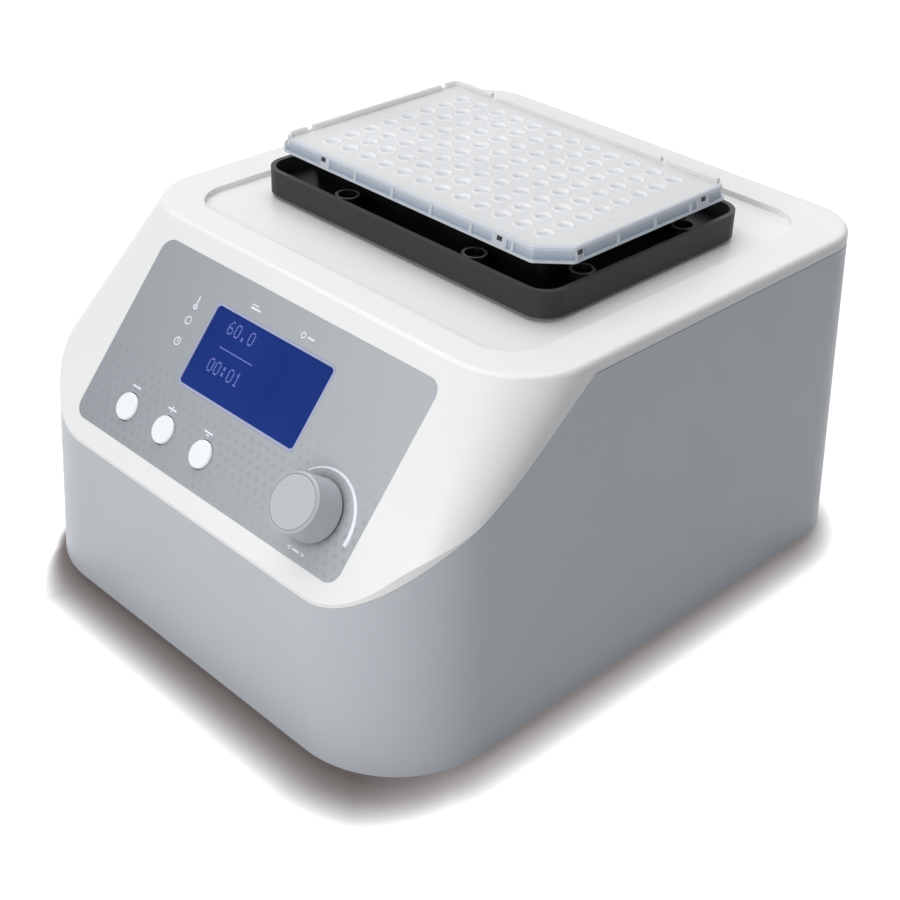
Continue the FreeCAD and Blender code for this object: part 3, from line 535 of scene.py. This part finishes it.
# The arc beside the knob swells from its upper end to its lower one
ARC_STEPS = 48
arc = []
arc_widths = []
for i in range(ARC_STEPS + 1):
    part = i / ARC_STEPS
    angle = math.radians(139.0 - 155.0 * part)
    reach = 0.0137 - 0.0030 * part + 0.0052 * part * part
    arc.append((KNOB[0] + reach * math.cos(angle), KNOB[1] + reach * math.sin(angle)))
    arc_widths.append(0.00035 + 0.0011 * part)
band(arc, arc_widths)

# Small generic marks: left of the display, above it, above the buttons and below the knob
MARK_X = -0.0384
TUBE_V, RING_V, CLOCK_V = 0.0509, 0.0459, 0.0383
stroke([(MARK_X, TUBE_V + 0.0007), (MARK_X, TUBE_V + 0.0037)], BOLD)
ring(MARK_X, TUBE_V, 0.0007, BOLD)
ring(MARK_X, RING_V, 0.0013, THIN, 40, 340, 20)
tail = [(0.0007, 0.0011), (0.0015, 0.0007), (0.0011, -0.0002)]
stroke([(MARK_X + x, RING_V + v) for x, v in tail], THIN)
ring(MARK_X, CLOCK_V, 0.0013, THIN, steps=24)
stroke([(MARK_X, CLOCK_V + 0.0009), (MARK_X, CLOCK_V), (MARK_X + 0.0006, CLOCK_V - 0.0003)], 0.00035)
bar(-0.0137, 0.0596, 0.0023, 0.0007)
bar(-0.0145, 0.0607, 0.0015, THIN)
ring(0.0095, 0.0598, 0.0009, THIN)
bar(0.0130, 0.0598, 0.0015, BOLD)
BUTTON_MARK_V = 0.0185
LEFT_MARK, MIDDLE_MARK, RIGHT_MARK = -0.0449, -0.0255, -0.0065
for x in (LEFT_MARK, MIDDLE_MARK, RIGHT_MARK):
    bar(x, BUTTON_MARK_V, 0.0021, BOLD)
stroke([(MIDDLE_MARK, BUTTON_MARK_V - 0.0010), (MIDDLE_MARK, BUTTON_MARK_V + 0.0010)], BOLD)
bar(RIGHT_MARK, BUTTON_MARK_V - 0.0009, 0.0008, THIN)
TURN_MARK = (0.0472, 0.0030)
arrow(TURN_MARK[0] - 0.0024, TURN_MARK[1], -0.0012)
bar(*TURN_MARK, 0.0014, BOLD)
arrow(TURN_MARK[0] + 0.0024, TURN_MARK[1], 0.0012)
prints.piece("panel_prints", PRINT_WHITE_PAINTED_GLOW, "housing", "panel_film")

# A darker grey ring near the knob's rim: painted shade that stands in for a groove
KNOB_TOP = 0.0116
GROOVE_HEIGHT = KNOB_TOP + 0.00002
groove = Builder(PANEL_MATRIX)
groove.turned([(0.00835, GROOVE_HEIGHT), (0.0086, GROOVE_HEIGHT)], *KNOB, 64)
groove.piece("knob_groove", GROOVE_PAINTED_SHADE, "dial", "knob_plastic")

# The well plate: a deck with ringed conical wells, a ribbed skirt and a cut corner
PITCH = 0.009
COLUMNS, ROWS = 12, 8
HALF_X, HALF_Y = 0.063, 0.04185
CORNER = 0.003
CORNER_CUT = 0.0095
CUT_ROUND = 0.002
SKIRT_DRAFT = 0.0009
SKIRT_WALL = 0.0011
DECK_FACE = DECK - 0.0003
FACE_EDGE = -0.0012


def rounded(corners, segments=6):
    """A closed outline: each corner (x, y, radius) becomes a tangent arc."""
    out = []
    count = len(corners)
    for i, (x, y, radius) in enumerate(corners):
        here = Vector((x, y))
        to_last = (Vector(corners[i - 1][:2]) - here).normalized()
        to_next = (Vector(corners[(i + 1) % count][:2]) - here).normalized()
        half = to_last.angle(to_next) / 2
        centre = here + (to_last + to_next).normalized() * radius / math.sin(half)
        first = here + to_last * radius / math.tan(half) - centre
        last = here + to_next * radius / math.tan(half) - centre
        turn = first.angle_signed(last)
        for k in range(segments + 1):
            a = -turn * k / segments
            c, s = math.cos(a), math.sin(a)
            out.append(centre + Vector((first.x * c - first.y * s, first.x * s + first.y * c)))
    return out


def plate_ring(grow):
    """The plate's outline, grown by so much on all sides."""
    x, y = HALF_X + grow, HALF_Y + grow
    corners = [
        (-x, -y, CORNER),
        (x - CORNER_CUT, -y, CUT_ROUND),
        (x, CORNER_CUT - y, CUT_ROUND),
        (x, y, CORNER),
        (-x, y, CORNER),
    ]
    return [Vector((p.x + PLATE_X, p.y + PLATE_Y)) for p in rounded(corners)]


def skirt_grow(z):
    return SKIRT_DRAFT * (DECK - z) / (DECK - SKIRT_FOOT)


def on_skirt(z):
    return skirt_grow(z), z


def loft(builder, levels, close=False):
    """Rings of the plate's outline at (grow, z) levels, joined one after another."""
    outlines = [plate_ring(grow) for grow, z in levels]
    count = len(outlines[0])
    verts = [(p.x, p.y, z) for outline, (grow, z) in zip(outlines, levels) for p in outline]
    faces = []
    for level in range(len(levels) - 1):
        for i in range(count):
            j = (i + 1) % count
            a, b = level * count, (level + 1) * count
            faces.append((a + i, a + j, b + j, b + i))
    if close:
        faces.append(tuple(range((len(levels) - 1) * count, len(levels) * count)))
    builder.add(verts, faces)


def well_centres():
    for column in range(COLUMNS):
        for row in range(ROWS):
            yield PLATE_X + (column - (COLUMNS - 1) / 2) * PITCH, PLATE_Y + (row - (ROWS - 1) / 2) * PITCH


# Profiles of a well as (radius, height above the deck's top)
WELL_STEPS = 24
TUBE_STEPS = 12
WELL_RIM = [
    (0.00345, -0.0003),
    (0.00325, -0.00014),
    (0.00305, -0.00006),
    (0.00285, -0.00006),
    (0.00273, -0.00014),
]
WELL_INSIDE = [
    (0.00273, -0.0001),
    (0.00262, -0.0022),
    (0.00250, -0.0070),
    (0.00130, -0.0160),
    (0.00060, -0.0190),
    (0.00002, -0.0194),
]
WELL_OUTSIDE = [
    (0.00310, -0.0012),
    (0.00295, -0.0072),
    (0.00170, -0.0163),
    (0.00085, -0.0198),
    (0.00002, -0.0202),
]


def deck_mesh():
    """The deck's face with a ringed hole for each well, filled out to the plate's edge."""
    bm = bmesh.new()
    for cx, cy in well_centres():
        columns = []
        for i in range(WELL_STEPS):
            a = 2 * math.pi * i / WELL_STEPS
            c, s = math.cos(a), math.sin(a)
            reach = PITCH / 2 / max(abs(c), abs(s))
            column = [bm.verts.new((cx + reach * c, cy + reach * s, DECK_FACE))]
            column += [bm.verts.new((cx + r * c, cy + r * s, DECK + z)) for r, z in WELL_RIM]
            columns.append(column)
        for i in range(WELL_STEPS):
            a, b = columns[i], columns[(i + 1) % WELL_STEPS]
            for k in range(len(a) - 1):
                bm.faces.new((a[k], b[k], b[k + 1], a[k + 1]))
    bmesh.ops.remove_doubles(bm, verts=bm.verts, dist=1e-6)
    inner = [e for e in bm.edges if len(e.link_faces) == 1 and e.verts[0].co.z < DECK - 0.0002]
    edge = [bm.verts.new((p.x, p.y, DECK_FACE)) for p in plate_ring(FACE_EDGE)]
    outer = [bm.edges.new((edge[i - 1], edge[i])) for i in range(len(edge))]
    bmesh.ops.triangle_fill(bm, edges=inner + outer, use_beauty=True)
    bmesh.ops.recalc_face_normals(bm, faces=bm.faces)
    mesh = bpy.data.meshes.new("plate_deck")
    bm.to_mesh(mesh)
    bm.free()
    return mesh


plate = piece("plate_deck", deck_mesh(), PLATE_WHITE, "plate")
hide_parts("microplate")

wells = Builder()
tubes = Builder()
for cx, cy in well_centres():
    wells.turned([(r, DECK + z) for r, z in WELL_INSIDE], cx, cy, WELL_STEPS)
    tubes.turned([(r, DECK + z) for r, z in WELL_OUTSIDE], cx, cy, TUBE_STEPS)
wells.piece("plate_wells", PLATE_WELL_PAINTED_GLOW, "plate", "plate_plastic")
tubes.piece("plate_tubes", PLATE_WELL_PAINTED_GLOW, "plate", "plate_plastic")

# The raised lip along the plate's left and back edges, with its notches
LIP_THICKNESS = 0.0016
LIP_TOP = DECK + LIP
LIP_SOFT = 0.0003
LIP_START_DROP = 0.0006
NOTCH_FLOOR = DECK + 0.0001
NOTCH_HALF = 0.0015
NOTCHES_X = (-0.042, 0.038)
NOTCHES_Y = (-0.031, 0.034)
LIP_END = HALF_X - 0.0025


def lip_path():
    """Samples of the lip from the front left corner to the back right: outer point, inner point and top."""
    out = []

    def sample(x, y, nx, ny, top):
        outer = Vector((PLATE_X + x, PLATE_Y + y))
        out.append((outer, outer + Vector((nx, ny)) * LIP_THICKNESS, top))

    def notch(place):
        first, last = place - NOTCH_HALF, place + NOTCH_HALF
        return [(first, LIP_TOP), (first, NOTCH_FLOOR), (last, NOTCH_FLOOR), (last, LIP_TOP)]

    for k in range(5):
        a = math.radians(250 - 70 * k / 4)
        c, s = math.cos(a), math.sin(a)
        top = LIP_TOP - LIP_START_DROP * (4 - k) / 4
        sample(CORNER - HALF_X + CORNER * c, CORNER - HALF_Y + CORNER * s, -c * 0.9, -s * 0.9, top)
    for place in NOTCHES_Y:
        for y, top in notch(place):
            sample(-HALF_X, y, 1, 0, top)
    for k in range(7):
        a = math.radians(180 - 90 * k / 6)
        c, s = math.cos(a), math.sin(a)
        sample(CORNER - HALF_X + CORNER * c, HALF_Y - CORNER + CORNER * s, -c, -s, LIP_TOP)
    for place in NOTCHES_X:
        for x, top in notch(place):
            sample(x, HALF_Y, 0, -1, top)
    sample(LIP_END, HALF_Y, 0, -1, LIP_TOP)
    return out


lip = Builder()
lip_verts = []
lip_faces = []
samples = lip_path()
for outer, inner, top in samples:
    soft = (inner - outer) * 0.2
    section = [
        (outer, DECK_FACE),
        (outer, top - LIP_SOFT),
        (outer + soft, top),
        (inner - soft, top),
        (inner, top - LIP_SOFT),
        (inner, DECK_FACE),
    ]
    lip_verts += [(p.x, p.y, z) for p, z in section]
for i in range(len(samples) - 1):
    for a in range(6 * i, 6 * i + 5):
        lip_faces.append((a, a + 1, a + 7, a + 6))
lip_faces.append(tuple(range(6)))
lip_faces.append(tuple(reversed(range(len(lip_verts) - 6, len(lip_verts)))))
lip.add(lip_verts, lip_faces)
lip.piece("plate_lip", PLATE_WHITE, "plate", "plate_plastic")

# The skirt: a rim and a foot with thin panels set back between them
PANEL_INSET = 0.0005
LEDGE = 0.0001
panel_top = (skirt_grow(PANEL_HIGH) - PANEL_INSET, PANEL_HIGH - LEDGE)
panel_foot = (skirt_grow(PANEL_LOW) - PANEL_INSET, PANEL_LOW)
foot_edge = (skirt_grow(PANEL_LOW), PANEL_LOW - LEDGE)
inner_foot = (SKIRT_DRAFT - SKIRT_WALL, SKIRT_FOOT)
inner_top = (-SKIRT_WALL, PANEL_HIGH)
rim = [(FACE_EDGE, DECK_FACE), (-0.0010, DECK), (-0.0004, DECK)]
skirt = Builder()
loft(skirt, [*rim, on_skirt(DECK_FACE), on_skirt(PANEL_HIGH)])
loft(skirt, [on_skirt(PANEL_HIGH), panel_top])
loft(skirt, [panel_foot, foot_edge, (SKIRT_DRAFT, SKIRT_FOOT), inner_foot, inner_top], close=True)
panels = Builder()
loft(panels, [panel_top, panel_foot])


def upright(builder, along_x, side, place, half, depth, proud, z0, z1):
    """An upright bar on the skirt's outside that follows its draft."""
    edge = HALF_Y if along_x else HALF_X
    verts = []
    for z in (z0, z1):
        for out in (-depth, proud):
            reach = side * (edge + skirt_grow(z) + out)
            for w in (-half, half):
                if along_x:
                    verts.append((PLATE_X + place + w, PLATE_Y + reach, z))
                else:
                    verts.append((PLATE_X + reach, PLATE_Y + place + w, z))
    builder.add(verts, [(0, 1, 3, 2), (4, 6, 7, 5), (0, 4, 5, 1), (2, 3, 7, 6), (0, 2, 6, 4), (1, 5, 7, 3)])


def rib(along_x, side, place, half):
    upright(skirt, along_x, side, place, half, RIB_DEPTH, 0.0, PANEL_LOW - LEDGE, PANEL_HIGH)


# Ribs stand two wells apart; each slot is a dark block of painted shadow in place of an opening, in a rib of
# its own (along x, side, place, half)
RIB_STEP = 2 * PITCH
RIB_HALF = 0.0006
RIB_DEPTH = 0.0006
RIBS_X = [0.010 + RIB_STEP * k for k in range(-4, 3)]
RIBS_Y = [-0.0305 + RIB_STEP * k for k in range(4)]
SLOTS = [
    (True, -1, -0.042, 0.0030),
    (True, -1, 0.0405, 0.0030),
    (False, 1, -0.0306, 0.0017),
    (False, 1, 0.0298, 0.0030),
]
SLOT_HALF = 0.0011
SLOT_DEPTH = 0.0004
SLOT_PROUD = 0.00003
for side in (-1, 1):
    for place in RIBS_X:
        rib(True, side, place, RIB_HALF)
    for place in RIBS_Y:
        rib(False, side, place, RIB_HALF)
slots = Builder()
for along_x, side, place, half in SLOTS:
    rib(along_x, side, place, half)
    upright(slots, along_x, side, place, SLOT_HALF, SLOT_DEPTH, SLOT_PROUD, DECK - 0.0026, DECK - 0.0011)
skirt.piece("plate_skirt", SKIRT_SHADED_WHITE, "plate", "plate_plastic")
panels.piece("plate_skirt_panels", SKIRT_PANEL_PAINTED_SHADE, "plate", "plate_plastic")
slots.piece("plate_slots", SLOT_SHADOW, "plate", "plate_plastic")


def screw(name, matrix, size, material, body, slot):
    """A screw head with a hexagon socket, from z 0 up; size is its radius, height and socket depth."""
    radius, height, depth = size
    socket = radius * 0.42
    bevel = radius * 0.14
    head = Builder(matrix)
    head.turned([(0.00002, height - depth), (socket, height - depth)], 0, 0, 6)
    head.turned([(socket, height - depth), (socket, height)], 0, 0, 6)
    head.turned([(socket, height), (radius - bevel, height), (radius, height - bevel), (radius, 0)], 0, 0, 24)
    head.piece(name, material, body, slot)


def four(x, y):
    return [(sx * x, sy * y) for sx in (-1, 1) for sy in (-1, 1)]


# Screws in the block frame's pockets, and lighter rings on the top edges of the pockets' walls: painted
# highlights
BLOCK_SCREW = (0.0026, 0.0022, 0.0012)
POCKET_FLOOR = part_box("block_frame")[0][2] + 0.0040
BOSS_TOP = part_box("block_frame")[1][2] - 0.0010
RING_LIFT = 0.00003
rings = Builder()
for index, (dx, dy) in enumerate(four(0.030, 0.04205) + four(0.060, 0.025)):
    place = Matrix.Translation((PLATE_X + dx, PLATE_Y + dy, POCKET_FLOOR))
    screw("block_screw_%d" % index, place, BLOCK_SCREW, DARK_SCREW, "platform", "anodised_dark")
    top = BOSS_TOP + RING_LIFT
    rings.turned([(0.0032, top), (0.0042, top)], PLATE_X + dx, PLATE_Y + dy, 32)
rings.piece("boss_rings", BOSS_RIM_PAINTED_HIGHLIGHT, "platform", "frame_dark")

# Screws of the fan's corners, seated on the rear wall as it leans in
FAN_SCREW = (0.0030, 0.0006, 0.0004)
FAN_SCREW_SUNK = 0.0003
FAN_SCREW_HALF = 0.03575
WALL_LEAN = math.atan(0.045)
fan_low, fan_high = (Vector(corner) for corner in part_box("fan_frame"))
fan_middle = (fan_low + fan_high) / 2
housing_low, housing_high = (Vector(corner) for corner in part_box("lower_housing"))
facing_back = Matrix.Rotation(WALL_LEAN - math.radians(90), 4, "X")
for index, (dx, dz) in enumerate(four(FAN_SCREW_HALF, FAN_SCREW_HALF)):
    height = fan_middle.z + dz
    wall = housing_high.y - (height - housing_low.z) * math.tan(WALL_LEAN)
    place = Matrix.Translation((fan_middle.x + dx, wall - FAN_SCREW_SUNK, height)) @ facing_back
    screw("fan_screw_%d" % index, place, FAN_SCREW, SCREW, "housing", "zinc")

# Screws of the base plate, below its bosses
BASE_SCREW = (0.0032, 0.0006, 0.0004)
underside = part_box("base_plate")[0][2]
facing_down = Matrix.Rotation(math.radians(180), 4, "X")
for index, (x, y) in enumerate([(x, y) for x in (-0.084, 0.084) for y in (-0.070, 0.088)]):
    place = Matrix.Translation((x, y, underside)) @ facing_down
    screw("base_screw_%d" % index, place, BASE_SCREW, SCREW, "housing", "zinc")

# Stage, light and camera
scene = bpy.context.scene
scene.view_settings.view_transform = "Standard"
WHITE_RAYS = ("Is Camera Ray", "Is Glossy Ray", "Is Transmission Ray")


def white_factor(tree):
    """1 for the rays that see the plain white set: camera, glossy and transmission rays."""
    path = tree.nodes.new("ShaderNodeLightPath")
    value = path.outputs[WHITE_RAYS[0]]
    for name in WHITE_RAYS[1:]:
        larger = tree.nodes.new("ShaderNodeMath")
        larger.operation = "MAXIMUM"
        tree.links.new(value, larger.inputs[0])
        tree.links.new(path.outputs[name], larger.inputs[1])
        value = larger.outputs[0]
    return value


FOOTPRINT_CORNER = 0.034


def contact_shade(t, x, y):
    """The floor's tone: a soft brownish shade that follows the footprint's outline, then white."""
    qx = t.math("SUBTRACT", t.math("ABSOLUTE", x), rest_high[0] - FOOTPRINT_CORNER)
    qy = t.math("SUBTRACT", t.math("ABSOLUTE", y), rest_high[1] - FOOTPRINT_CORNER)
    outside = t.length(t.math("MAXIMUM", qx, 0.0), t.math("MAXIMUM", qy, 0.0))
    inside = t.math("MINIMUM", t.math("MAXIMUM", qx, qy), 0.0)
    away = t.math("SUBTRACT", t.math("ADD", outside, inside), FOOTPRINT_CORNER)
    turn = t.ramp(t.math("ADD", x, y), -0.034, 0.006)
    width = t.ramp(turn, 0.0, 1.0, t.ramp(x, -0.08, 0.08, 0.0183, 0.0205), 0.0128)
    width = t.math("MULTIPLY", width, t.ramp(x, -0.086, -0.062, 0.22, 1.0))
    part = t.math("DIVIDE", t.math("ADD", away, 0.001), width, clamp=True)
    rise = t.math("POWER", part, t.ramp(turn, 0.0, 1.0, 2.2, 1.85))
    darkest = t.mix(turn, (0.150, 0.132, 0.128, 1.0), (0.34, 0.313, 0.306, 1.0))
    mottled = t.mix(t.ramp(t.noise(3.0), 0.3, 0.7), lin(252, 251, 250), lin(254, 253, 252))
    return t.mix(rise, darkest, mottled)


def studio_floor():
    """A white floor with the contact shade; light on its way to the object meets a darker, plain floor."""
    t = Tree("floor white")
    x, y = t.xyz(t.coord.outputs["Object"])[:2]
    tone = contact_shade(t, x, y)
    lit_part = t.add("ShaderNodeBsdfDiffuse")
    t.put(lit_part.inputs["Color"], tone)
    glow = t.add("ShaderNodeEmission")
    t.put(glow.inputs["Color"], tone)
    t.put(glow.inputs["Strength"], t.ramp(t.length(x, y), 0.6, 2.0, 0.50, 0.76))
    both = t.add("ShaderNodeAddShader")
    t.nt.links.new(lit_part.outputs[0], both.inputs[0])
    t.nt.links.new(glow.outputs[0], both.inputs[1])
    plain = t.add("ShaderNodeBsdfDiffuse")
    t.put(plain.inputs["Color"], t.mix(0.64, tone, (0, 0, 0, 1)))
    t.mixed_surface(white_factor(t.nt), plain, both)
    return t.mat


FLOOR_HALF = 6.0
corners = [(sx * FLOOR_HALF, sy * FLOOR_HALF, 0) for sx, sy in ((-1, -1), (1, -1), (1, 1), (-1, 1))]
floor_mesh = mesh_of("floor", corners, [(0, 1, 2, 3)])
floor = bpy.data.objects.new("floor", floor_mesh)
scene.collection.objects.link(floor)
floor_mesh.materials.append(studio_floor())


def area(name, place, target, size, power):
    light = bpy.data.lights.new(name, "AREA")
    light.energy = power
    light.size = size
    obj = bpy.data.objects.new(name, light)
    obj.location = place
    obj.rotation_mode = "QUATERNION"
    obj.rotation_quaternion = (Vector(target) - Vector(place)).to_track_quat("-Z", "Y")
    scene.collection.objects.link(obj)


area("top_soft", (-0.40, 0.08, 1.2), (0, 0, 0.1), size=1.4, power=11.4)
area("key_front", (0.18, -0.60, 0.30), (0, 0, 0.06), size=0.36, power=1.85)
area("rim_back", (-0.3, 1.2, 0.8), (0, 0, 0.1), size=0.8, power=1.5)


def background(tree, colour, strength):
    node = tree.nodes.new("ShaderNodeBackground")
    node.inputs["Color"].default_value = colour
    node.inputs["Strength"].default_value = strength
    return node


world = bpy.data.worlds.new("studio")
scene.world = world
world.use_nodes = True
sky = world.node_tree
sky.nodes.clear()
sky_out = sky.nodes.new("ShaderNodeOutputWorld")
sky_mix = sky.nodes.new("ShaderNodeMixShader")
sky.links.new(white_factor(sky), sky_mix.inputs[0])
sky.links.new(background(sky, (0.85, 0.92, 1.0, 1), 0.30).outputs[0], sky_mix.inputs[1])
sky.links.new(background(sky, (1, 1, 1, 1), 1.0).outputs[0], sky_mix.inputs[2])
sky.links.new(sky_mix.outputs[0], sky_out.inputs[0])

# The camera's place and axes, fitted to the photograph
CAMERA_PLACE = (0.34606, -0.35038, 0.34796)
CAMERA_RIGHT = (0.70124, 0.71233, 0.02923)
CAMERA_UP = (-0.39967, 0.35884, 0.84350)
CAMERA_BACK = (0.59036, -0.60318, 0.53633)
camera_data = bpy.data.cameras.new("camera")
camera_data.sensor_width = 36.0
camera_data.lens = 64.09
camera_data.clip_start = 0.01
camera_data.clip_end = 50.0
camera = bpy.data.objects.new("camera", camera_data)
scene.collection.objects.link(camera)
rows = list(zip(CAMERA_RIGHT, CAMERA_UP, CAMERA_BACK, CAMERA_PLACE))
camera.matrix_world = Matrix((*rows, (0, 0, 0, 1)))
scene.camera = camera
